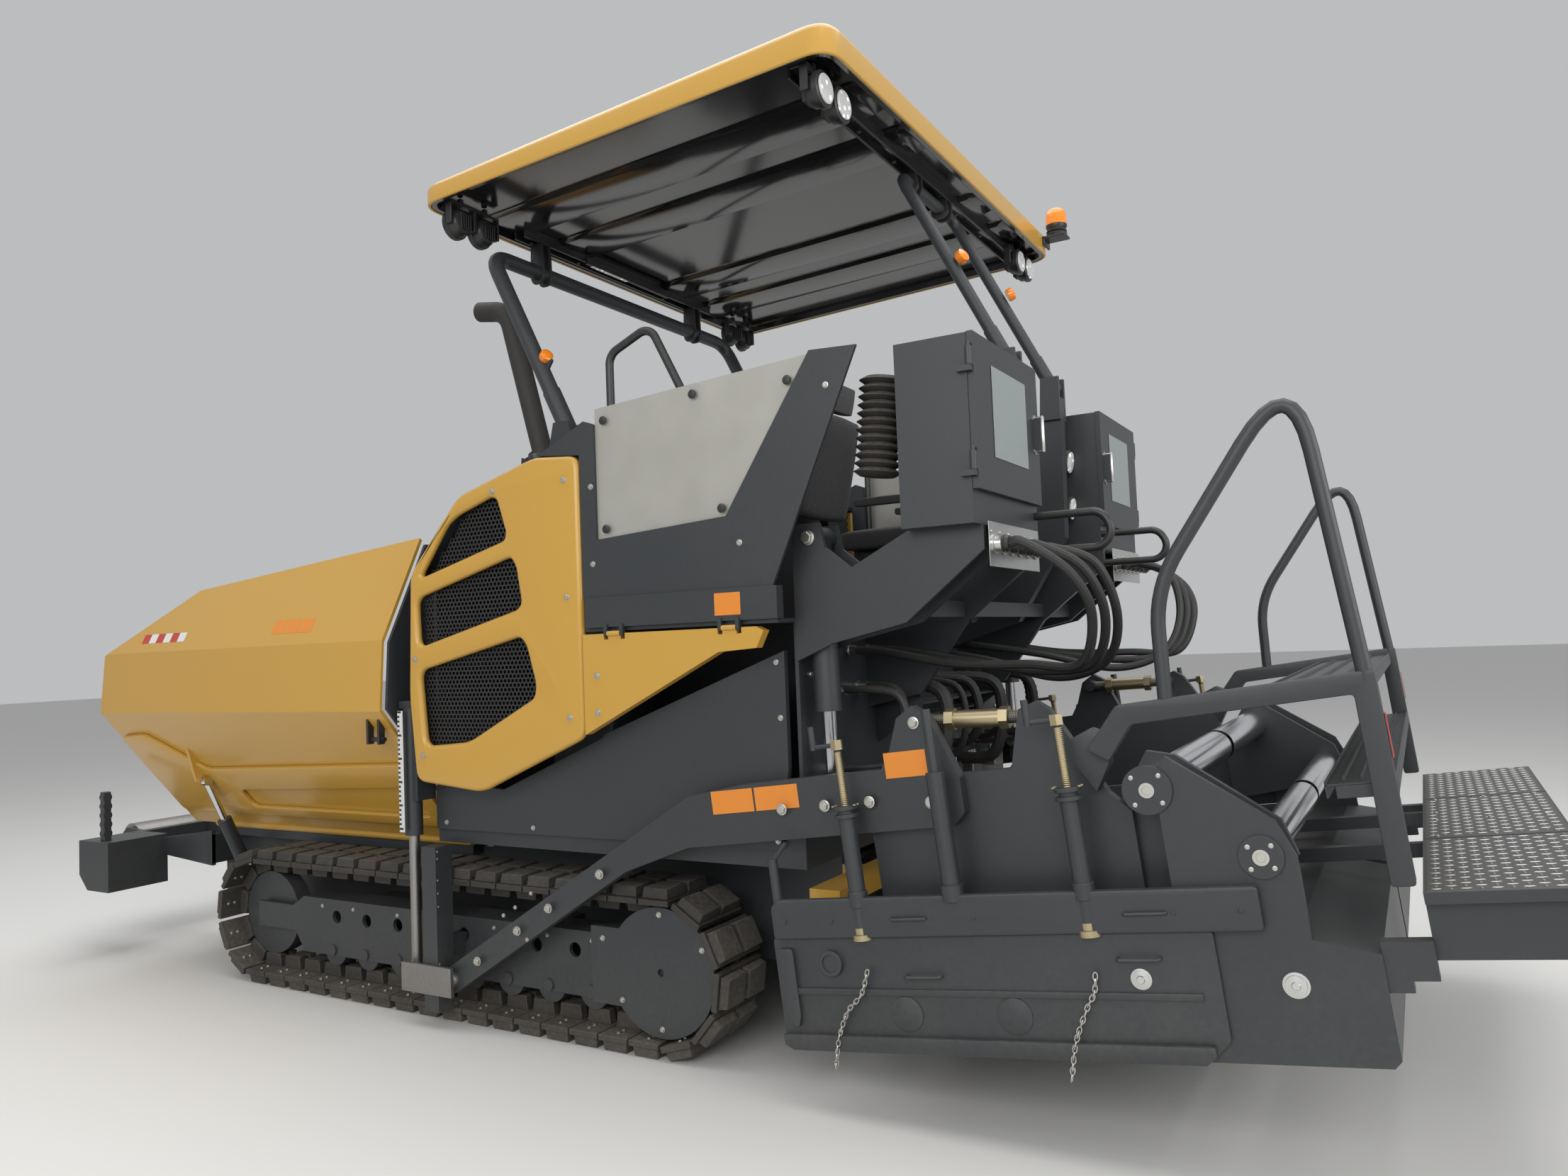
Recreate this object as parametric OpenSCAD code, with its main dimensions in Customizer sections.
// Tracked asphalt paver with its screed lifted for travel.
// +X forward, +Y left, +Z up, origin on the ground under the middle of the bounding box.

/* [Tracks] */
// Distance between the sprocket and idler shafts
wheelbase = 2460; // [2200:10:2700]
// X of the sprocket shaft
sprocket_x = -610; // [-700:10:-500]
// Radius of the track's outside round the sprocket
track_r = 325; // [300:5:340]
// Width of the track shoes
shoe_w = 300; // [250:10:320]
// Outer edge of the track shoes from the centre line
track_out = 1100; // [1080:5:1105]
// Thickness of the rubber pads
pad_t = 42; // [30:1:50]
// Thickness of the steel shoes
shoe_t = 23; // [15:1:30]
// Height of the chain links inside the shoes
link_h = 58; // [45:1:65]
// Width of the chain links
link_w = 110; // [80:5:140]
// Number of shoes in one track
shoes = 44; // [38:1:48]
// Number of bottom rollers on each side
rollers = 8; // [5:1:9]
// Diameter of the bottom rollers
roller_d = 150; // [120:5:160]
// Radius of the round final drive cover
drive_cover_r = 248; // [200:2:250]

/* [Chassis] */
// Half the width of the chassis between the tracks, over its side plates
chassis_half = 670; // [640:5:700]
// Thickness of the chassis side plates
side_t = 30; // [15:1:40]
// Bottom of the chassis
chassis_z = 300; // [260:5:320]
// Height of the conveyor tunnel roof
tunnel_z = 745; // [720:5:760]
// Thickness of floors and bulkheads
plate_t = 15; // [8:1:20]
// Rear end of the chassis side plates
chassis_rear = -1205; // [-1210:5:-1150]
// Front end of the conveyor floor
floor_front = 2700; // [2500:10:2800]
// Half the width of the middle chain case
chain_case = 55; // [45:5:70]

/* [Upper body] */
// Half the width over the side covers
cover_half = 1220; // [1200:5:1240]
// Thickness of the side covers
cover_t = 40; // [25:1:50]
// Top of the operator's deck
deck_z = 1655; // [1600:5:1680]
// Rear edge of the operator's deck
deck_rear = -1270; // [-1280:5:-1200]
// X of the wall between the engine bay and the deck
wall_x = -400; // [-450:5:-380]
// Top edge of the engine hood at the wall
hood_top = 2350; // [2300:5:2400]
// Sheet thickness of the hood
hood_t = 20; // [10:1:30]
// Height of the dark beam under the side shields
beam_h = 115; // [90:5:130]
// Thickness of the steel side shields
shield_t = 12; // [8:1:20]
// Thickness of the clear side windows
window_t = 6; // [4:1:10]

/* [Hopper] */
// Y of the wing hinges
wing_hinge_y = 735; // [720:5:760]
// Z of the wing hinges
wing_hinge_z = 690; // [680:5:700]
// Rear end of the wings
wing_rear = 715; // [700:5:760]
// Front end of the wings
wing_front = 2900; // [2800:10:2950]
// Sheet thickness of the wings
wing_t = 12; // [8:1:16]
// Y of the fold between a wing's floor and its side
wing_fold_y = 1255; // [1230:5:1265]

/* [Front beam] */
// Height of the push roller shafts
push_z = 560; // [500:5:600]
// Diameter of the push rollers
push_d = 180; // [160:5:200]
// Half the width of the push beam
push_half = 1130; // [1000:10:1200]
// Diameter of the towing eyes
eye_d = 60; // [40:2:80]

/* [Screed] */
// X of the tow pins
tow_x = 400; // [380:5:410]
// Z of the tow pins as parked
tow_z = 210; // [200:5:230]
// Diameter of the tow pins
tow_pin_d = 45; // [40:1:50]
// Angle at which the screed is carried, up from flat on the ground
carry_angle = 6.5; // [5:0.1:7]
// Running clearance of pins in bores, on the diameter
pin_gap = 0.1; // [0.06:0.02:0.16]
// Inner face of the tow arms
arm_in = 1125; // [1115:1:1125]
// Thickness of the tow arms
arm_t = 48; // [36:2:50]
// Front face of the main screed
screed_front = -1640; // [-1660:5:-1620]
// Rear face of the main screed
screed_rear = -2500; // [-2520:5:-2460]
// Height of the screed boxes
screed_h = 320; // [300:5:340]
// Half the width of the main screed
screed_half = 1215; // [1200:5:1220]
// Gap between the two extension units at the middle
ext_gap = 60; // [40:10:100]
// Front face of the extension units
ext_front = -2600; // [-2640:5:-2580]
// Rear face of the extension units
ext_rear = -3100; // [-3140:5:-3060]
// Diameter of the upper guide tubes
tube_d = 120; // [90:5:125]
// Height of the upper guide tubes over the ground with the screed down
tube_z = 770; // [750:5:790]
// Diameter of the tow cylinder rods
tow_rod_d = 45; // [35:1:50]
// Thickness of the end gates
gate_t = 50; // [40:2:50]
// Depth of the walkway
walk_d = 400; // [350:10:430]
// Height of the walkway with the screed down
walk_z = 455; // [440:5:470]
// Height of the box under the walkway
walk_h = 180; // [150:5:200]
// Diameter of the step rails
rail_d = 42; // [34:1:48]

/* [Augers] */
// X of the auger shaft
auger_x = -1385; // [-1400:5:-1370]
// Z of the auger shaft
auger_z = 400; // [380:5:420]
// Diameter of the auger flights
auger_d = 340; // [300:5:350]
// Pitch of the auger flights
auger_pitch = 300; // [250:10:340]

/* [Canopy] */
// Half the width of the canopy
roof_half = 1275; // [1250:5:1275]
// Front edge of the canopy
roof_front = 380; // [350:5:400]
// Rear edge of the canopy
roof_rear = -1600; // [-1650:5:-1560]
// Lower edge of the canopy at its front
roof_z = 3484; // [3450:2:3520]
// X of the front leg pivots
leg_x = -140; // [-160:5:-120]
// Z of the front leg pivots
leg_z = 2490; // [2450:5:2520]
// How far the legs lean forward
leg_dx = 430; // [380:5:450]
// Height of the legs between their pivots
leg_dz = 860; // [820:5:880]
// Y of the front legs
leg_y = 950; // [900:5:980]

/* [Hidden] */
$fn = 48;
seat_gap = 0.3;
clear = 5;
bend_swell = 0.6;
idler_x = sprocket_x + wheelbase;
track_in = track_out - shoe_w;
track_mid = track_out - shoe_w / 2;
shoe_in_r = track_r - pad_t - shoe_t;
link_in_r = shoe_in_r - link_h;
roller_z = track_r - link_in_r + roller_d / 2 + seat_gap;
gate_in = screed_half + 2 * clear;
walk_rear = ext_rear - 120 - walk_d;
apron_t = 20;
apron_top = 500;
eye_x = floor_front + 300;
eye_z = chassis_z + 90;
post_x = tow_x + 60;
post_d = 85;
tow_cyl_x = tow_x + 236;
wing_bar_d = 36;
skirt_in = 1065;
FLAP_HINGES = [-1080, -560];
flap_pin_y = cover_half;
flap_pin_z = deck_z - 25;
lift_top = [-1334, 1000, 1938];
lift_eye = [-1358, 1000, 1031];
lift_pin_d = 50;
lift_rod_d = 50;
lug_y = 1056;
wing_pin = [idler_x + 510, 780, 450];
wing_eye = [idler_x + 510, 1010, 965];
wing_rod_d = 36;
wing_barrel_d = 70;
clevis_half = wing_barrel_d / 2 + clear;
clevis_t = 20;
cabinet_front = -1730;
cabinet_rear = -1985;
cabinet_low = 1930;
cabinet_top = 2550;
cabinet_in = 470;
cabinet_out = 1150;
door_pin = [cabinet_rear - 12, cabinet_out + 13];
DOOR_HINGES = [2130, 2470];
rear_leg_x = -1850;
rear_leg_z = 2650;
roof_rise = 80;
roof_top_rise = 125;
sleeve_d = 130;
pipe_d = 90;
sleeve_low = [60, 840, 2250];
sleeve_top = [112, 840, 2440];
pipe_pin = [198, 840, 2420];
hood_low = 1885;
rear_x = tow_x + (walk_rear - tow_x) * cos(carry_angle)
  + (walk_z - walk_h - tow_z) * sin(carry_angle);
push_x = -rear_x - push_d / 2;

// Both sides of the machine
module both_sides() {
  children();
  mirror([0, 1, 0]) children();
}

// Plate with an outline in the side view, from y to y + t
module side_plate(y, t) {
  translate([0, y + t, 0]) rotate([90, 0, 0]) linear_extrude(t) children();
}

// Bar with an outline in the front view, from x to x + l
module cross_bar(x, l) {
  translate([x, 0, 0]) rotate([90, 0, 90]) linear_extrude(l) children();
}

// Box between two corners
module block(low, high) {
  translate(low) cube(high - low);
}

// Round bar between two points
module bar(p, q, d) {
  v = q - p;
  l = norm(v);
  translate(p) rotate([0, acos(v.z / l), atan2(v.y, v.x)]) cylinder(h = l, d = d);
}

// Round bar across the machine
module shaft(x, z, y, l, d) {
  translate([x, y + l, z]) rotate([90, 0, 0]) cylinder(h = l, d = d);
}

function dir(pts, i) = (pts[i + 1] - pts[i]) / norm(pts[i + 1] - pts[i]);
function turn(pts, i) =
  let (u = dir(pts, i - 1), v = dir(pts, i)) atan2(u.x * v.y - u.y * v.x, u * v);
function cut(pts, i, r) = i == 0 || i == len(pts) - 1 ? 0 : r * tan(abs(turn(pts, i)) / 2);

// Round tube along a flat path, with its corners bent to radius r and swelled a little
module flat_tube(pts, d, r) {
  for (i = [0 : len(pts) - 2]) {
    u = dir(pts, i);
    p = pts[i] + u * max(cut(pts, i, r) - 1, 0);
    q = pts[i + 1] - u * max(cut(pts, i + 1, r) - 1, 0);
    translate([p.x, p.y, 0]) rotate([0, 0, atan2(u.y, u.x)]) rotate([0, 90, 0])
      cylinder(h = norm(q - p), d = d);
  }
  for (i = [1 : len(pts) - 2]) {
    t = turn(pts, i);
    s = sign(t);
    u = dir(pts, i - 1);
    a = pts[i] - u * cut(pts, i, r);
    c = a + s * r * [-u.y, u.x];
    start = atan2(u.y, u.x) - s * 90 + min(t, 0);
    translate([c.x, c.y, 0]) rotate([0, 0, start]) rotate_extrude(angle = abs(t))
      translate([r, 0]) circle(d = d + bend_swell);
  }
}

// The same tube in the side view, at y
module side_tube(pts, y, d, r) {
  translate([0, y, 0]) rotate([90, 0, 0]) flat_tube(pts, d, r);
}

// The screed is drawn level and then lifted about the tow pins
module lifted() {
  translate([tow_x, 0, tow_z]) rotate([0, carry_angle, 0]) translate([-tow_x, 0, -tow_z])
    children();
}

// Point of a track loop at arc length s, for a loop of radius r
function loop_len(r) = 2 * wheelbase + 2 * PI * r;
function loop_at(s, r, h = 0) =
  let (w = wheelbase, half = PI * r, l = loop_len(r), t = (s % l + l) % l)
  t < w ? [sprocket_x + t, -r - h]
  : t < w + half ? [idler_x, 0] + (r + h) * [sin((t - w) / r * 180 / PI), -cos((t - w) / r * 180 / PI)]
  : t < 2 * w + half ? [idler_x - (t - w - half), r + h]
  : [sprocket_x, 0] + (r + h) * [-sin((t - 2 * w - half) / r * 180 / PI), cos((t - 2 * w - half) / r * 180 / PI)];

// Outline of a stadium of radius r
module stadium(r) {
  translate([sprocket_x, track_r]) circle(r);
  translate([idler_x, track_r]) circle(r);
  translate([sprocket_x, track_r - r]) square([wheelbase, 2 * r]);
}

// Rubber pads and shoes as one toothed loop
module shoe_outline() {
  pitch = loop_len(shoe_in_r) / shoes;
  steps = [[0.03, 0], [0.05, 1], [0.5, 1], [0.93, 1], [0.95, 0]];
  translate([0, track_r]) polygon([
    for (i = [0 : shoes - 1]) for (k = steps)
      loop_at((i + k[0]) * pitch, shoe_in_r, shoe_t + k[1] * pad_t)
  ]);
}

module track() {
  color([0.09, 0.09, 0.09]) {
    side_plate(track_in, shoe_w) difference() {
      shoe_outline();
      stadium(shoe_in_r);
    }
    side_plate(track_mid - link_w / 2, link_w) difference() {
      stadium(shoe_in_r + 2);
      stadium(link_in_r);
    }
  }
}

module track_left() {
  track();
}

module track_right() {
  mirror([0, 1, 0]) track();
}

// Track frame, rollers, sprocket, idler and final drive cover of the left side
module track_frame() {
  cheek_y = [track_mid - link_w / 2 - 22, track_mid + link_w / 2 + 4];
  cheek_t = 18;
  low = roller_z - 25;
  high = track_r + 110;
  color([0.12, 0.12, 0.13]) {
    for (y = cheek_y) side_plate(y, cheek_t) difference() {
      polygon([[-330, low], [1560, low], [1640, track_r - 40], [1640, track_r + 60],
        [1560, high], [-330, high]]);
      if (y > track_mid)
        for (x = [-150 : 210 : 1400]) translate([x, track_r + 30]) circle(d = 60);
    }
    block([-330, cheek_y[0], high - 30], [1560, cheek_y[1] + cheek_t, high]);
    // Idler, its fork and shaft
    shaft(idler_x, track_r, track_mid - 40, 80, 2 * (link_in_r - seat_gap));
    shaft(idler_x, track_r, cheek_y[0], cheek_y[1] + cheek_t - cheek_y[0], 70);
    for (y = cheek_y) block([1600, y, track_r - 60], [idler_x + 60, y + cheek_t, track_r + 60]);
    // Sprocket on its drive
    shaft(sprocket_x, track_r, track_mid - 30, 60, 2 * (link_in_r - seat_gap));
    shaft(sprocket_x, track_r, chassis_half, track_out - 50 - chassis_half, 220);
    for (i = [0 : rollers - 1]) {
      x = -230 + i * (1700 - 2 * 60) / (rollers - 1);
      shaft(x, roller_z, cheek_y[0] + cheek_t - 4, cheek_y[1] - cheek_y[0] - cheek_t + 8, roller_d);
      shaft(x, roller_z, cheek_y[0] - 8, cheek_y[1] - cheek_y[0] + cheek_t + 16, 50);
    }
    // Round cover with its flat tail
    side_plate(track_out - 55, 22) difference() {
      union() {
        translate([sprocket_x, track_r]) circle(drive_cover_r);
        translate([sprocket_x, track_r - 150]) square([340, 300]);
      }
      translate([sprocket_x, track_r]) circle(d = 30);
    }
    block([-345, cheek_y[1] + 2, track_r - 100], [-285, track_out - 50, track_r + 100]);
    // Beams to the chassis
    for (x = [100, 1150])
      block([x, chassis_half, track_r - 75], [x + 200, cheek_y[0] + 4, track_r + 75]);
    // Arm that carries the tow post
    block([post_x + 10, cheek_y[1] + 4, track_r - 40], [post_x + 70, track_out + 5, track_r + 40]);
  }
}

module track_frames() {
  both_sides() track_frame();
}

module chassis() {
  color([0.13, 0.13, 0.14]) {
    both_sides() side_plate(chassis_half - side_t, side_t)
      polygon([[chassis_rear, chassis_z], [floor_front, chassis_z], [floor_front, wing_hinge_z - 30],
        [650, wing_hinge_z - 30], [650, tunnel_z + plate_t], [chassis_rear, tunnel_z + plate_t]]);
    block([chassis_rear, -chassis_half, chassis_z], [floor_front, chassis_half, chassis_z + plate_t]);
    block([chassis_rear, -chassis_half, tunnel_z], [650, chassis_half, tunnel_z + plate_t]);
    block([chassis_rear, -chain_case, chassis_z], [floor_front, chain_case, chassis_z + 270]);
    // Hinge strips of the wings, with seats for their hinge bars, and clevises of the wing cylinders
    both_sides() {
      difference() {
        block([wing_rear, chassis_half - side_t, wing_hinge_z - 60],
          [floor_front, wing_hinge_y, wing_hinge_z]);
        bar([wing_rear - 1, wing_hinge_y, wing_hinge_z], [floor_front + 1, wing_hinge_y, wing_hinge_z],
          wing_bar_d + 2 * seat_gap);
      }
      for (x = [wing_pin.x - clevis_half - clevis_t, wing_pin.x + clevis_half])
        cross_bar(x, clevis_t) polygon([[chassis_half - 1, wing_pin.z - 90], [wing_pin.y, wing_pin.z - 45],
          [wing_pin.y + 40, wing_pin.z], [wing_pin.y, wing_pin.z + 40], [chassis_half - 1, wing_pin.z + 90]]);
      bar(wing_pin - [clevis_half + 5, 0, 0], wing_pin + [clevis_half + 5, 0, 0], 30);
    }
  }
}

// Slat conveyors between the chassis plates
module conveyors() {
  belt_top = chassis_z + plate_t + 175;
  belt_low = chassis_z + plate_t + 25;
  rear = chassis_rear + 110;
  front = floor_front - 110;
  color([0.25, 0.25, 0.26]) both_sides() {
    side_plate(chain_case + 20, chassis_half - side_t - chain_case - 40) difference() {
      polygon([[rear, belt_low], [front, belt_low], [front + 60, belt_low + 75], [front, belt_top],
        [rear, belt_top], [rear - 60, belt_low + 75]]);
      polygon([[rear, belt_low + 12], [front, belt_low + 12], [front + 46, belt_low + 75],
        [front, belt_top - 12], [rear, belt_top - 12], [rear - 46, belt_low + 75]]);
    }
    for (x = [rear + 40 : 320 : front - 40])
      block([x, chain_case + 25, belt_top - 4], [x + 40, chassis_half - side_t - 25, belt_top + 20]);
    for (x = [rear, front])
      shaft(x, belt_low + 75, chain_case, chassis_half - side_t - chain_case, 70);
    for (x = [rear, front])
      shaft(x, belt_low + 75, chain_case + 80, 60, 124);
  }
}

// Push roller beam with its two ends
module push_beam() {
  color([0.14, 0.14, 0.17]) {
    // Front apron of the hopper, on the ends of the chassis plates
    block([floor_front, -chassis_half, chassis_z], [floor_front + apron_t, chassis_half, apron_top]);
    both_sides() {
      side_plate(380, 30) difference() {
        polygon([[floor_front, chassis_z + 20], [eye_x - 60, chassis_z + 20], [eye_x, eye_z - 55],
          [eye_x + 60, eye_z - 20], [push_x - 135, push_z - 90], [push_x - 135, push_z + 55],
          [floor_front, wing_hinge_z - 40]]);
        translate([eye_x, eye_z]) circle(d = eye_d);
      }
      // Chamfered end box
      side_plate(push_half - 330, 330) polygon([[push_x - 420, push_z - 210], [push_x - 210, push_z - 210],
        [push_x - 130, push_z - 130], [push_x - 130, push_z + 60], [push_x - 420, push_z + 60]]);
      for (y = [130, push_half - 360]) side_plate(y, 25) difference() {
        polygon([[push_x - 130, push_z - 100], [push_x, push_z - 70], [push_x + 40, push_z - 40],
          [push_x + 40, push_z + 40], [push_x, push_z + 70], [push_x - 130, push_z + 60]]);
        translate([push_x, push_z]) circle(d = 50 + pin_gap);
      }
    }
    block([push_x - 190, -push_half + 330, push_z - 100], [push_x - 130, push_half - 330, push_z + 60]);
  }
}

module push_roller() {
  y = 155 + clear;
  l = push_half - 360 - 2 * clear - 155;
  color([0.7, 0.55, 0.12]) {
    shaft(push_x, push_z, y, l, push_d);
    shaft(push_x, push_z, 130, l + 2 * clear + 50, 50);
  }
}

module push_roller_left() {
  push_roller();
}

module push_roller_right() {
  mirror([0, 1, 0]) push_roller();
}

// Bulkheads, deck and compartments over the tracks, and the rear wall of the hopper
module upper_frame() {
  low = tunnel_z + plate_t;
  wall = 575;
  color([0.13, 0.13, 0.14]) {
    block([deck_rear, -skirt_in, low], [wall, skirt_in, low + plate_t]);
    block([wall - plate_t, -skirt_in, low], [wall, skirt_in, hood_low]);
    block([deck_rear, -skirt_in, low], [deck_rear + plate_t, skirt_in, deck_z - plate_t]);
    block([wall_x - plate_t, -skirt_in, low], [wall_x, skirt_in, hood_top - 30]);
    block([deck_rear, -cover_half + 20, deck_z - plate_t], [wall_x, cover_half - 20, deck_z]);
    both_sides() {
      block([deck_rear, 700, low], [wall_x, 700 + plate_t, deck_z - plate_t]);
      block([deck_rear, skirt_in - 20, low], [wall, skirt_in, low + 140]);
      block([wall - 1, 600, low], [wing_rear - 25, 620, 1800]);
    }
    cross_bar(wing_rear - 10 - plate_t, plate_t) polygon([[-wing_hinge_y, wing_hinge_z + 30],
      [-wing_fold_y + 20, 1350], [-wing_fold_y + 40, 1640], [-1000, 2080], [1000, 2080],
      [wing_fold_y - 40, 1640], [wing_fold_y - 20, 1350], [wing_hinge_y, wing_hinge_z + 30]]);
  }
}

module engine_block() {
  color([0.3, 0.3, 0.3])
    block([-340, -420, tunnel_z + 2 * plate_t], [480, 420, 1780]);
}

// Side outline of the hood and its covers, grown inward by w
module hood_outline(w) {
  polygon([[wall_x, 1235 + w], [wall_x, hood_top - w - 20], [-170, hood_top - w], [255 - w * 0.4, 2237 - w],
    [553 - w, 1929 - w * 0.4], [575 - w, 1400], [540 - w, 1040 + w], [161, 1005 + w]]);
}

module hood() {
  half = cover_half - cover_t;
  color([0.13, 0.13, 0.14]) {
    difference() {
      intersection() {
        side_plate(-half, 2 * half) hood_outline(0);
        block([wall_x, -half, hood_low], [600, half, hood_top + 10]);
      }
      side_plate(-half - 1, 2 * half + 2) intersection() {
        hood_outline(hood_t);
        translate([wall_x - 10, 1000]) square([1100, hood_top]);
      }
      block([wall_x - 1, -half - 1, 1800], [wall_x + 0.01, half + 1, hood_top]);
      bar(sleeve_low, sleeve_top, sleeve_d + 2 * seat_gap);
    }
    // Cheeks of the front leg pivots
    both_sides() for (y = [leg_y - 60, leg_y + 40 + seat_gap]) side_plate(y, 20 - seat_gap)
      polygon([[leg_x - 90, hood_top - 25], [leg_x + 90, hood_top - 25], [leg_x + 40, leg_z + 40],
        [leg_x - 40, leg_z + 40]]);
  }
}

// Windows of a grille cover, upper to lower
GRILLES = [
  [[500, 1905], [330, 2120], [270, 2155], [70, 2215], [35, 2200], [-10, 2060], [0, 2030]],
  [[520, 1820], [-30, 1960], [-60, 1920], [-85, 1770], [-60, 1745], [510, 1610]],
  [[510, 1510], [-70, 1635], [-105, 1600], [-150, 1440], [-140, 1390], [230, 1210], [480, 1190]]
];

module grille_cover() {
  color([0.86, 0.6, 0.08]) side_plate(cover_half - cover_t, cover_t) difference() {
    hood_outline(0);
    for (g = GRILLES) polygon(g);
  }
}

module grille_covers() {
  both_sides() grille_cover();
}

module grille_meshes() {
  color([0.06, 0.06, 0.06]) both_sides() side_plate(cover_half - cover_t - 8, 7.7) difference() {
    hood_outline(45);
    translate([-1000, 0]) square([1, 1]);
  }
}

// Dark lower panels over the tracks
module skirts() {
  color([0.13, 0.13, 0.14]) both_sides() side_plate(skirt_in, 25)
    polygon([[-1180, 830], [560, 820], [560, 1000], [540, 1032], [161, 1000], [-385, 1222], [-390, 1235],
      [-1225, 1540], [-1225, 1120]]);
}

module flap() {
  color([0.86, 0.6, 0.08]) difference() {
    union() {
      side_plate(cover_half - cover_t, cover_t)
        polygon([[wall_x - clear, 1245], [wall_x - clear, deck_z - 25], [-1190, deck_z - 25],
          [-1222, deck_z - 40], [-1190, deck_z - 100], [-1030, 1545]]);
      for (x = FLAP_HINGES) bar([x - 30, flap_pin_y, flap_pin_z], [x + 30, flap_pin_y, flap_pin_z], 20);
    }
    for (x = FLAP_HINGES) {
      bar([x - 31, flap_pin_y, flap_pin_z], [x + 31, flap_pin_y, flap_pin_z], 10 + pin_gap);
      for (a = [x - 45 - clear, x + 30])
        block([a, flap_pin_y - cover_t - 1, flap_pin_z - 22], [a + 15 + clear, flap_pin_y + 1, flap_pin_z + 11]);
    }
  }
}

module flap_left() {
  flap();
}

module flap_right() {
  mirror([0, 1, 0]) flap();
}

module side_shields() {
  color([0.13, 0.13, 0.14]) both_sides() {
    block([-1280, cover_half - 44, deck_z], [wall_x - 20, cover_half, deck_z + beam_h]);
    side_plate(cover_half - shield_t - 10, shield_t)
      polygon([[-435, deck_z + beam_h], [-1260, deck_z + beam_h], [-1620, 2560], [-1440, 2570],
        [-1075, 2030], [-440, 1990]]);
    // Hinge pins of the flaps
    for (x = FLAP_HINGES) {
      bar([x - 45, flap_pin_y, flap_pin_z], [x + 45, flap_pin_y, flap_pin_z], 10);
      for (a = [x - 45, x + 30 + seat_gap])
        block([a, flap_pin_y - 12, flap_pin_z - 8], [a + 15 - seat_gap, flap_pin_y + 8, deck_z + 10]);
    }
    // Column panel beside the hood
    side_plate(cover_half - 50, 40) polygon([[wall_x - clear, deck_z + beam_h], [wall_x - clear, 2330],
      [-190, 2352], [-430, 2460], [-480, 2440], [-480, deck_z + beam_h]]);
  }
}

module side_windows() {
  color([0.7, 0.72, 0.7, 0.5]) both_sides() side_plate(cover_half - shield_t - 10 - window_t, window_t)
    polygon([[-480.3, 1965], [-1088, 2004], [-1458, 2552], [-1430, 2562], [-480.3, 2502]]);
}

module seats() {
  color([0.05, 0.05, 0.05]) both_sides() {
    block([-1140, 520, 2030], [-640, 980, 2150]);
    block([-1240, 540, 2150 + seat_gap], [-1130, 960, 2560]);
  }
}

module seat_stands() {
  color([0.1, 0.1, 0.1]) both_sides()
    block([-1080, 600, deck_z], [-700, 900, 2029.7]);
}

module console() {
  color([0.1, 0.1, 0.1])
    side_plate(-450, 900) polygon([[wall_x - plate_t, deck_z], [wall_x - plate_t, 2300],
      [-560, 2240], [-500, 2100], [-500, deck_z]]);
}

module cabinets() {
  color([0.13, 0.13, 0.14]) both_sides() {
    difference() {
      block([cabinet_rear, cabinet_in, cabinet_low], [cabinet_front, cabinet_out, cabinet_top]);
      block([cabinet_rear - 1, cabinet_in + 8, cabinet_low + 120],
        [cabinet_front - 8, cabinet_out - 8, cabinet_top - 8]);
    }
    for (z = DOOR_HINGES) {
      translate([door_pin.x, door_pin.y, z - 45]) cylinder(h = 90, d = 12);
      block([door_pin.x - 8, cabinet_out - 1, z - 50], [cabinet_rear + 30, door_pin.y + 8, z - 30.3]);
    }
  }
}

module cabinet_door() {
  color([0.14, 0.14, 0.15]) {
    block([cabinet_rear - 22, cabinet_in + 4, cabinet_low + 110],
      [cabinet_rear - seat_gap, cabinet_out - 4, cabinet_top + 4]);
    block([cabinet_rear - 50, cabinet_in + 40, 2240], [cabinet_rear - 22, cabinet_in + 65, 2360]);
    for (z = DOOR_HINGES) difference() {
      union() {
        translate([door_pin.x, door_pin.y, z - 30]) cylinder(h = 60, d = 22);
        block([cabinet_rear - 22, cabinet_out - 5, z - 30], [door_pin.x, door_pin.y, z + 30]);
      }
      translate([door_pin.x, door_pin.y, z - 31]) cylinder(h = 62, d = 12 + pin_gap);
    }
  }
}

module cabinet_door_left() {
  cabinet_door();
}

module cabinet_door_right() {
  mirror([0, 1, 0]) cabinet_door();
}

// Brackets behind the deck that carry the cabinets, the lift cylinders and the rear legs
module rear_frame() {
  color([0.13, 0.13, 0.14]) {
    both_sides() {
      side_plate(480, 30) polygon([[deck_rear, 1300], [deck_rear, deck_z + 50], [-1720, cabinet_low],
        [-1990, cabinet_low], [-1990, 1850], [-1700, 1620], [-1500, 1350]]);
      for (y = [lift_top.y - 78, lift_top.y + 58])
        side_plate(y, 20) polygon([[deck_rear, 1500], [deck_rear, 1990], [-1380, 1990], [-1400, 1900],
          [-1500, 1820], [-1720, cabinet_low], [-1990, cabinet_low], [-1990, 1850], [-1700, 1620],
          [-1420, 1560]]);
      shaft(lift_top.x, lift_top.z, lift_top.y - 58 + seat_gap, 116 - 2 * seat_gap, lift_pin_d);
      // Posts of the rear legs with their cheeks
      side_plate(270, 60) polygon([[deck_rear, 1500], [deck_rear, 1700], [-1750, 2100], [-1810, 2600],
        [-1890, 2600], [-1880, 1980], [-1650, 1620]]);
      for (y = [250, 330 + seat_gap]) side_plate(y, 20 - seat_gap)
        polygon([[-1800, 2500], [-1810, 2690], [-1890, 2690], [-1890, 2500]]);
      block([-1880, 251, 2500], [-1810, 349, 2560]);
      // Cross tube between the brackets
      block([-1700, 510 + seat_gap, 1640], [-1660, lift_top.y - 78 - seat_gap, 1700]);
    }
    block([-1700, -480 + seat_gap, 1640], [-1660, 480 - seat_gap, 1700]);
  }
}

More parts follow.
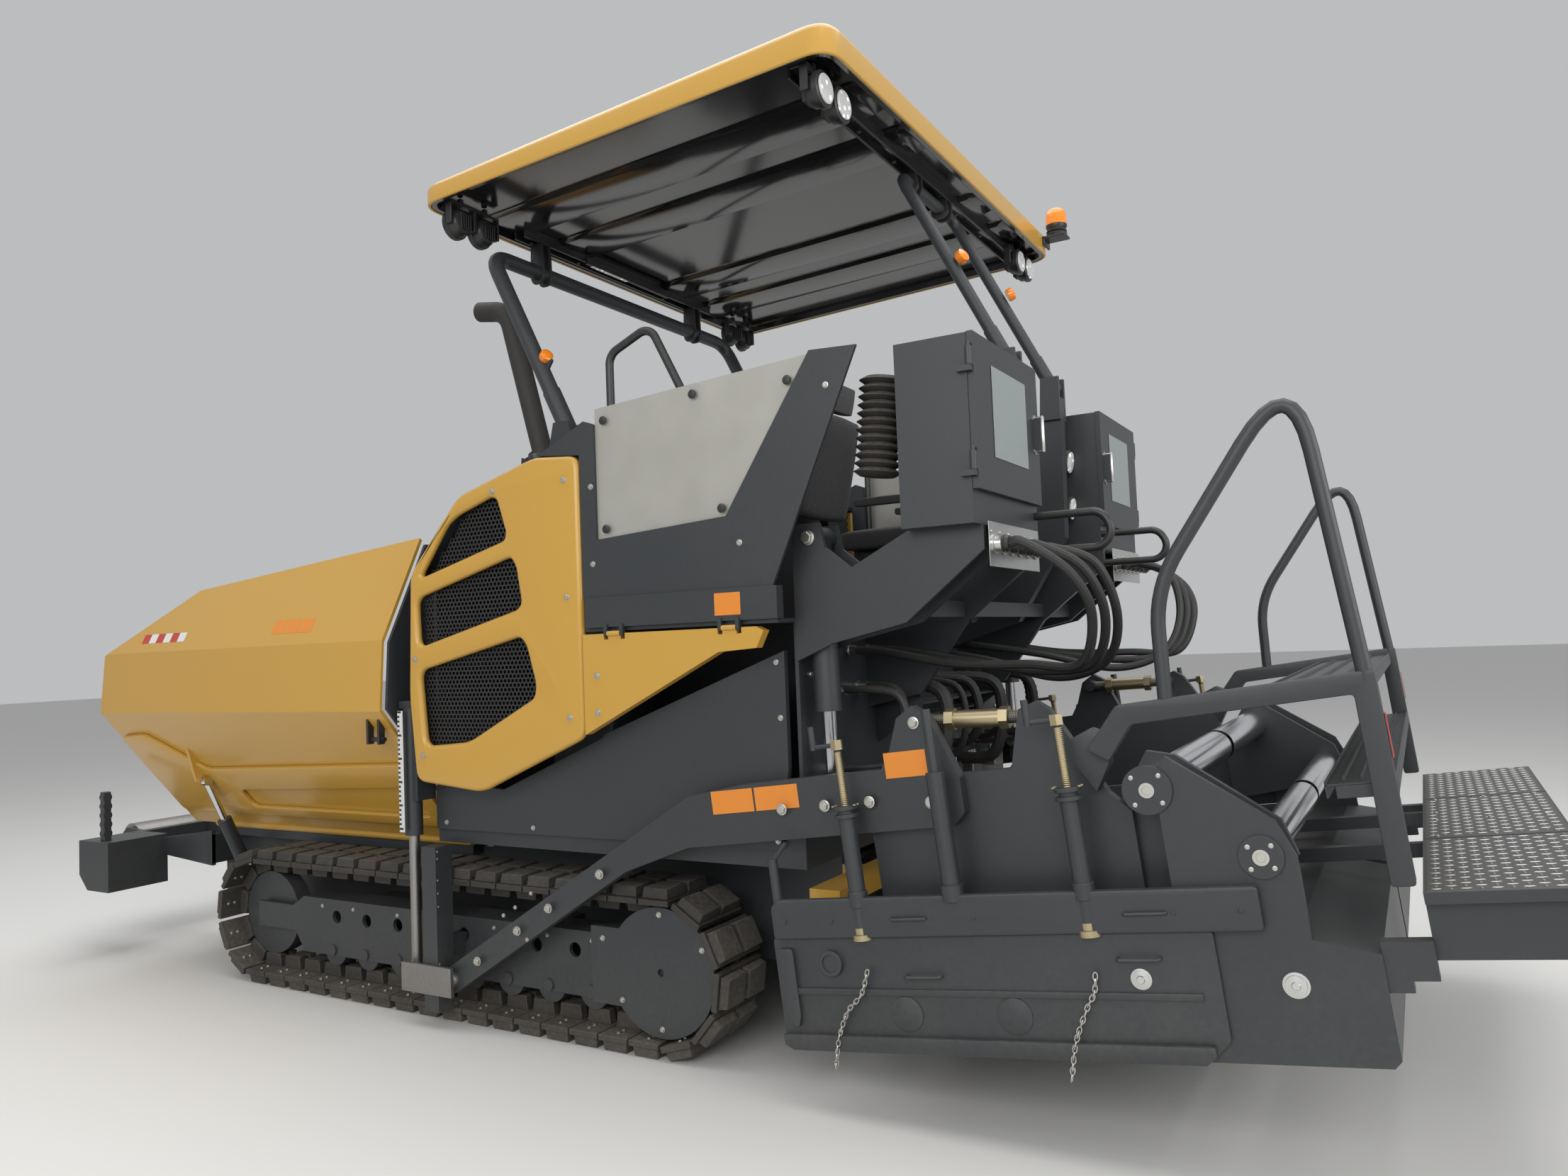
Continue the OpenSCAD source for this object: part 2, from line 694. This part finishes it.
module handrails() {
  color([0.13, 0.13, 0.14]) both_sides() {
    side_tube([[-520, deck_z], [-520, 2720], [-720, 2800], [-900, 2450], [-900, deck_z]],
      cover_half - 75, 32, 60);
    side_tube([[cabinet_rear, 2000], [-2230, 2000], [-2300, 1870], [-1990, 1870]], 495, 30, 60);
  }
}

// Guide posts of the tow points and the cylinders above them
module tow_posts() {
  y = track_out + 50;
  color([0.13, 0.13, 0.14]) both_sides() {
    block([post_x, track_out + 5, 70], [post_x + post_d, track_out + 95, 760]);
    difference() {
      union() {
        bar([tow_cyl_x, y, 800], [tow_cyl_x, y, 1350], 76);
        block([575, 1080, 950], [605, y + 30, 1350]);
        block([575, 1080, 1350], [tow_cyl_x + 38, y + 35, 1380]);
      }
      bar([tow_cyl_x, y, 799], [tow_cyl_x, y, 1330], tow_rod_d + pin_gap);
    }
  }
}

module tow_sliders() {
  y = track_out + 50;
  color([0.5, 0.5, 0.5]) both_sides() {
    bar([tow_cyl_x, y, 200], [tow_cyl_x, y, 930], tow_rod_d);
    block([tow_x - 35, track_out + 100, tow_z - 60], [tow_cyl_x + 25, track_out + 115, tow_z + 60]);
    block([post_x + post_d + clear, track_out + 40, tow_z - 40],
      [tow_cyl_x + 25, track_out + 101, tow_z + 40]);
    shaft(tow_x, tow_z, arm_in - 12, track_out + 101 - arm_in + 12, tow_pin_d);
    shaft(post_x + post_d + 38 + seat_gap, tow_z - 60, track_out + 12, 30, 76);
  }
}

module tow_arms() {
  color([0.13, 0.13, 0.14]) lifted() both_sides() {
    difference() {
      side_plate(arm_in, arm_t) union() {
        translate([tow_x, tow_z]) circle(55);
        polygon([[tow_x + 10, tow_z + 53], [tow_x - 35, tow_z - 42], [-591, 614], [-895, 688],
          [-1950, 700], [-1990, 740], [-1990, 850], [-1910, 1060], [-1860, 1095], [-1800, 1060],
          [-1760, 960], [-1720, 900], [-1153, 896], [-925, 873]]);
      }
      shaft(tow_x, tow_z, arm_in - 1, arm_t + 2, tow_pin_d + pin_gap);
    }
    // Lug of the lift cylinder
    side_plate(lug_y, arm_in - seat_gap - lug_y) polygon([[-1500, 720], [-1380, 720], [-1390, 850], [-1440, 880],
      [-1490, 850]]);
  }
}

module main_screed() {
  color([0.12, 0.12, 0.13]) lifted() {
    side_plate(-screed_half, 2 * screed_half) polygon([[screed_front, 20], [screed_front + 30, 10],
      [screed_rear + 20, 10], [screed_rear, 30], [screed_rear, screed_h], [screed_front, screed_h]]);
    both_sides() {
      side_plate(arm_in - 40, 40) polygon([[screed_front, screed_h - 2], [screed_front + 10, 760],
        [-1900, 860], [-2150, 860], [-2200, 1040], [-2260, 1060], [-2300, 1030], [-2440, 760],
        [screed_rear, 700], [screed_rear, screed_h - 2]]);
      side_plate(300, 40) polygon([[screed_front, screed_h - 2], [screed_front, 620], [-2400, 620],
        [screed_rear, 560], [screed_rear, screed_h - 2]]);
      // Turnbuckle
      bar([-1857, arm_in - 60, 1039], [-2228, arm_in - 60, 1012], 40);
      bar([-1857, arm_in - 80, 1039], [-1857, arm_in - 0.3, 1039], 50);
      bar([-2228, arm_in - 80, 1012], [-2228, arm_in - 10, 1012], 50);
      // Guide tube carriers
      side_plate(arm_in - 70, 30) difference() {
        polygon([[screed_rear + 60, 700], [-2560, 870], [-2640, 850], [-2900, 640], [-2930, 540],
          [-2860, 480], [-2520, 440], [screed_rear + 60, 440]]);
        translate([tube_a().x, tube_a().y]) circle(d = tube_d + 2 * seat_gap);
        translate([tube_b().x, tube_b().y]) circle(d = tube_d - 20 + 2 * seat_gap);
      }
    }
    // Centre carrier of the guide tubes
    block([screed_rear, -20, screed_h - 2], [screed_rear + 60, 20, 700]);
    // Middle walkway and its arms
    block([walk_rear, -430, walk_z - 30], [walk_rear + walk_d, 430, walk_z]);
    both_sides() block([walk_rear + 20, 300, walk_z - 75], [screed_rear + 40, 340, walk_z - 29]);
  }
}

function tube_a() = [-2578, tube_z];
function tube_b() = [-2851, tube_z - 205];

// Steps and rails over the extension units
module screed_stairs() {
  y0 = 620;
  y1 = 1180;
  back = walk_rear + walk_d + 10;
  color([0.13, 0.13, 0.14]) lifted() both_sides() {
    for (y = [y0, y1]) {
      side_plate(y, 40) polygon([[-2420, 900], [-2525, 1020], [back, 1035], [back, walk_z + 15],
        [back + 60, walk_z + 15], [back + 60, 975], [-2560, 960], [-2480, 860]]);
      side_tube([[-2666, 1020], [-2690, 1340], [-3150, 1890], [back + 25, 1010]], y + 20, rail_d, 95);
    }
    block([back, y0 + 39, 1000], [-2900, y1 + 1, 1030]);
    block([back, y0 + 39, 735], [back + 150, y1 + 1, 765]);
    side_plate(arm_in, y1 + 1 - arm_in) polygon([[-2330, 920], [-2420, 770], [-2470, 850], [-2490, 930],
      [-2430, 960]]);
  }
}

module extension() {
  half = screed_half;
  y0 = ext_gap / 2;
  color([0.12, 0.12, 0.13]) lifted() {
    side_plate(y0, gate_in - y0) polygon([[ext_front, 20], [ext_front - 20, 10], [ext_rear + 20, 10],
      [ext_rear, 30], [ext_rear, 300], [-2900, 350], [ext_front, 350]]);
    // End plate with the guide tubes' outer ends
    side_plate(gate_in - 25, 25) polygon([[ext_front, 300], [ext_front, 820], [-2640, 860], [-2900, 660],
      [-2940, 560], [-2940, 300]]);
    shaft(tube_a().x, tube_a().y, y0, gate_in - 25 - y0, tube_d);
    shaft(tube_b().x, tube_b().y, y0, gate_in - 25 - y0, tube_d - 20);
    // Walkway on its beam
    block([walk_rear, 440, walk_z - 30], [walk_rear + walk_d, gate_in, walk_z]);
    block([walk_rear, 500, walk_z - walk_h], [walk_rear + walk_d, gate_in - 40, walk_z - 29]);
    block([walk_rear + walk_d - 2, gate_in - 60, 230], [ext_rear - 0, gate_in - 10, 330]);
    block([ext_rear - 60, gate_in - 60, 200], [ext_rear + 2, gate_in - 10, 290]);
  }
}

module extension_left() {
  extension();
}

module extension_right() {
  mirror([0, 1, 0]) extension();
}

module end_gate() {
  color([0.12, 0.12, 0.13]) lifted() {
    side_plate(gate_in, gate_t) polygon([[-1255, 373], [-1255, 28], [-1290, 10], [-2623, 10], [-2692, 72],
      [-2692, 371], [-2830, 371], [-2830, 493], [-1299, 503], [-1270, 480]]);
    for (x = [-1600, -2350]) {
      bar([x, gate_in + 10, 480], [x, gate_in + 10, 800], 56);
      bar([x, gate_in + 10, 790], [x, gate_in + 10, 1000], 24);
      bar([x, gate_in + 10, 1000], [x + 90, gate_in + 10, 1000], 16);
    }
    bar([-1935, gate_in + 10, 480], [-1935, gate_in + 10, 880], 60);
  }
}

module end_gate_left() {
  end_gate();
}

module end_gate_right() {
  mirror([0, 1, 0]) end_gate();
}

module lift_barrel() {
  u = (lift_eye - lift_top) / norm(lift_eye - lift_top);
  color([0.13, 0.13, 0.14]) difference() {
    union() {
      shaft(lift_top.x, lift_top.z, lift_top.y - 55, 110, 92);
      bar(lift_top, lift_top + u * 620, 96);
    }
    shaft(lift_top.x, lift_top.z, lift_top.y - 56, 112, lift_pin_d + pin_gap);
    bar(lift_top + u * 80, lift_top + u * 621, lift_rod_d + pin_gap);
  }
}

module lift_barrel_left() {
  lift_barrel();
}

module lift_barrel_right() {
  mirror([0, 1, 0]) lift_barrel();
}

module lift_rod() {
  u = (lift_eye - lift_top) / norm(lift_eye - lift_top);
  color([0.75, 0.75, 0.76]) {
    bar(lift_top + u * 370, lift_eye, lift_rod_d);
    shaft(lift_eye.x, lift_eye.z, lift_eye.y - 30, lug_y - seat_gap - lift_eye.y + 30, 80);
  }
}

module lift_rod_left() {
  lift_rod();
}

module lift_rod_right() {
  mirror([0, 1, 0]) lift_rod();
}

// Bearer behind the chassis with the auger gear case and the outer hangers
module auger_bearer() {
  low = auger_z + 240;
  high = auger_z + 300;
  color([0.86, 0.6, 0.08]) {
    block([auger_x - 60, -60, auger_z - 110], [chassis_rear, 60, high]);
    block([auger_x - 20, -1080, low], [auger_x + 100, 1080, high]);
    both_sides() {
      block([auger_x + 99, chassis_half - side_t, low], [chassis_rear, chassis_half, high]);
      block([auger_x - 15, 1065, auger_z - 60], [auger_x + 15, 1080, low + 1]);
    }
  }
}

// Screw flight as a thin band swept along a helix
module flight(y0, turns, hand) {
  color([0.2, 0.2, 0.2]) translate([auger_x, y0, auger_z]) rotate([-90, 0, 0])
    linear_extrude(turns * auger_pitch, twist = hand * turns * 360, slices = turns * 24, $fn = 4)
      polygon([[20, -7], [auger_d / 2, -6], [auger_d / 2, 6], [20, 7]]);
}

module auger_left() {
  color([0.2, 0.2, 0.2]) {
    shaft(auger_x, auger_z, 60 + seat_gap, 1065 - 60 - 2 * seat_gap, 90);
    flight(100, 3, 1);
  }
}

module auger_right() {
  color([0.2, 0.2, 0.2]) {
    shaft(auger_x, auger_z, -1065 + seat_gap, 1065 - 60 - 2 * seat_gap, 90);
    flight(-1000, 3, 1);
  }
}

// Hopper wing, folded up
module wing() {
  y0 = wing_hinge_y;
  z0 = wing_hinge_z;
  t = wing_t;
  color([0.86, 0.6, 0.08]) difference() {
    cross_bar(wing_rear, wing_front - wing_rear) polygon([[y0, z0], [wing_fold_y, 1340],
      [wing_fold_y - 20, 1650], [1010, 2110], [1010 - t, 2100], [wing_fold_y - 20 - t, 1640],
      [wing_fold_y - t, 1350], [y0 - t, z0 + t]]);
    // Slanted top and front edge
    translate([0, 700, 0]) side_plate(-50, 650) polygon([[wing_rear - 1, 2112], [2270, 1960], [2890, 1640],
      [wing_front + 1, 1340], [wing_front + 1, 2200], [wing_rear - 1, 2200]]);
  }
  color([0.86, 0.6, 0.08]) {
    bar([wing_rear, y0, z0], [wing_front - 210, y0, z0], wing_bar_d);
    // Lug beside the eye of the wing cylinder
    cross_bar(wing_eye.x + 20 + seat_gap, 20) polygon([[wing_eye.y - 60, wing_eye.z + 12],
      [wing_eye.y + 10, wing_eye.z - 30], [wing_eye.y + 40, wing_eye.z], [wing_eye.y + 90, wing_eye.z + 180]]);
  }
}

module wing_left() {
  wing();
}

module wing_right() {
  mirror([0, 1, 0]) wing();
}

module wing_barrel() {
  u = (wing_eye - wing_pin) / norm(wing_eye - wing_pin);
  color([0.13, 0.13, 0.14]) difference() {
    union() {
      bar(wing_pin - [30, 0, 0], wing_pin + [30, 0, 0], 62);
      bar(wing_pin, wing_pin + u * 330, wing_barrel_d);
    }
    bar(wing_pin - [clevis_half, 0, 0], wing_pin + [clevis_half, 0, 0], 30 + pin_gap);
    bar(wing_pin + u * 50, wing_pin + u * 331, wing_rod_d + pin_gap);
  }
}

module wing_barrel_left() {
  wing_barrel();
}

module wing_barrel_right() {
  mirror([0, 1, 0]) wing_barrel();
}

module wing_rod() {
  u = (wing_eye - wing_pin) / norm(wing_eye - wing_pin);
  color([0.75, 0.75, 0.76]) {
    bar(wing_pin + u * 220, wing_eye, wing_rod_d);
    bar(wing_eye - [20, 0, 0], wing_eye + [20, 0, 0], 50);
  }
}

module wing_rod_left() {
  wing_rod();
}

module wing_rod_right() {
  mirror([0, 1, 0]) wing_rod();
}

module canopy_roof() {
  color([0.86, 0.6, 0.08]) difference() {
    side_plate(-roof_half, 2 * roof_half) polygon([[roof_front, roof_z], [roof_rear, roof_z + roof_rise],
      [roof_rear, roof_z + roof_rise + 110], [roof_rear + 40, roof_z + 90 + roof_top_rise],
      [roof_front - 20, roof_z + 95], [roof_front, roof_z + 75]]);
    side_plate(-roof_half + 25, 2 * roof_half - 50) polygon([[roof_front - 25, roof_z - 10],
      [roof_rear + 25, roof_z + roof_rise - 10], [roof_rear + 25, roof_z + roof_rise + 95],
      [roof_front - 25, roof_z + 65]]);
  }
  color([0.05, 0.05, 0.05]) for (y = [-700, -320, 280, 660])
    side_plate(y, 40) polygon([[roof_front - 25.3, roof_z + 30], [roof_rear + 25.3, roof_z + roof_rise + 40],
      [roof_rear + 25.3, roof_z + roof_rise + 94.5], [roof_front - 25.3, roof_z + 64.5]]);
  // Cross bars and the cheeks of the leg pivots
  color([0.05, 0.05, 0.05]) {
    for (x = [leg_x + leg_dx - 35, rear_leg_x + leg_dx - 35]) {
      z = roof_z + (roof_front - x) / (roof_front - roof_rear) * roof_rise;
      block([x, -roof_half + 25.3, z + 25], [x + 70, roof_half - 25.3, z + 75]);
    }
    both_sides() {
      for (y = [leg_y - 60, leg_y + 40 + seat_gap]) side_plate(y, 20 - seat_gap)
        polygon([[leg_x + leg_dx - 40, leg_z + leg_dz - 30], [leg_x + leg_dx + 35, leg_z + leg_dz - 30],
          [leg_x + leg_dx + 35, roof_z + 40], [leg_x + leg_dx - 35, roof_z + 40]]);
      for (y = [240, 340 + seat_gap]) side_plate(y, 20 - seat_gap)
        polygon([[rear_leg_x + leg_dx - 40, rear_leg_z + leg_dz - 30],
          [rear_leg_x + leg_dx + 35, rear_leg_z + leg_dz - 30],
          [rear_leg_x + leg_dx + 35, roof_z + roof_rise + 40],
          [rear_leg_x + leg_dx - 35, roof_z + roof_rise + 40]]);
    }
  }
}

module roof_lamps() {
  color([0.9, 0.5, 0.1]) {
    translate([roof_rear - 65, -roof_half + 90, roof_z + 190]) cylinder(h = 120, d = 110);
    block([roof_rear - 120, -roof_half + 40, roof_z + 150], [roof_rear - seat_gap, -roof_half + 140, roof_z + 190]);
  }
}

module front_legs() {
  color([0.13, 0.13, 0.14]) both_sides() {
    shaft(leg_x, leg_z, leg_y - 40, 80, 60);
    shaft(leg_x + leg_dx, leg_z + leg_dz, leg_y - 40, 80, 60);
    bar([leg_x, leg_y, leg_z], [leg_x + leg_dx, leg_y, leg_z + leg_dz], 70);
    shaft(leg_x + leg_dx * 0.9, leg_z + leg_dz * 0.9, -1, leg_y + 1, 50);
  }
}

module rear_legs() {
  color([0.13, 0.13, 0.14]) both_sides() {
    shaft(rear_leg_x, rear_leg_z, 270, 60, 70);
    shaft(rear_leg_x + leg_dx, rear_leg_z + leg_dz, 260, 80, 70);
    side_tube([[rear_leg_x, rear_leg_z], [rear_leg_x + 210, rear_leg_z + 650],
      [rear_leg_x + leg_dx, rear_leg_z + leg_dz]], 300, 50, 120);
  }
}

module exhaust_sleeve() {
  color([0.1, 0.1, 0.1]) {
    bar(sleeve_low, sleeve_top, sleeve_d);
    // Hinge lugs of the pipe
    for (y = [pipe_pin.y - 32, pipe_pin.y + 15 + seat_gap]) side_plate(y, 17 - seat_gap)
      polygon([[110, 2330], [pipe_pin.x + 18, pipe_pin.z - 12], [pipe_pin.x + 14, pipe_pin.z + 16],
        [pipe_pin.x - 4, pipe_pin.z + 4], [pipe_pin.x - 30, pipe_pin.z - 22], [120, 2405]]);
    shaft(pipe_pin.x, pipe_pin.z, pipe_pin.y - 30, 60, 12);
  }
}

module exhaust_pipe() {
  u = (sleeve_top - sleeve_low) / norm(sleeve_top - sleeve_low);
  foot = sleeve_top + u * seat_gap;
  elbow = [300, sleeve_top.y, 3120];
  color([0.1, 0.1, 0.1]) difference() {
    union() {
      bar(foot, foot + u * 12, sleeve_d);
      side_tube([[foot.x, foot.z], [elbow.x, elbow.z], [470, 3150]], sleeve_top.y, pipe_d, 120);
      side_plate(pipe_pin.y - 15, 30) polygon([[foot.x + 40, foot.z], [foot.x + 44, foot.z + 12],
        [pipe_pin.x + 12, pipe_pin.z + 14], [pipe_pin.x + 14, pipe_pin.z - 12], [pipe_pin.x - 10, pipe_pin.z - 14],
        [pipe_pin.x - 16, pipe_pin.z + 8]]);
    }
    shaft(pipe_pin.x, pipe_pin.z, pipe_pin.y - 16, 32, 12 + pin_gap);
  }
}

chassis();
track_left();
track_right();
track_frames();
conveyors();
push_beam();
push_roller_left();
push_roller_right();
upper_frame();
engine_block();
hood();
grille_covers();
grille_meshes();
skirts();
side_shields();
side_windows();
seats();
seat_stands();
console();
cabinets();
rear_frame();
handrails();
tow_posts();
auger_bearer();
auger_left();
auger_right();
exhaust_sleeve();
exhaust_pipe();
flap_left();
flap_right();
cabinet_door_left();
cabinet_door_right();
wing_left();
wing_right();
wing_barrel_left();
wing_barrel_right();
wing_rod_left();
wing_rod_right();
tow_sliders();
tow_arms();
main_screed();
screed_stairs();
extension_left();
extension_right();
end_gate_left();
end_gate_right();
lift_barrel_left();
lift_barrel_right();
lift_rod_left();
lift_rod_right();
canopy_roof();
roof_lamps();
front_legs();
rear_legs();
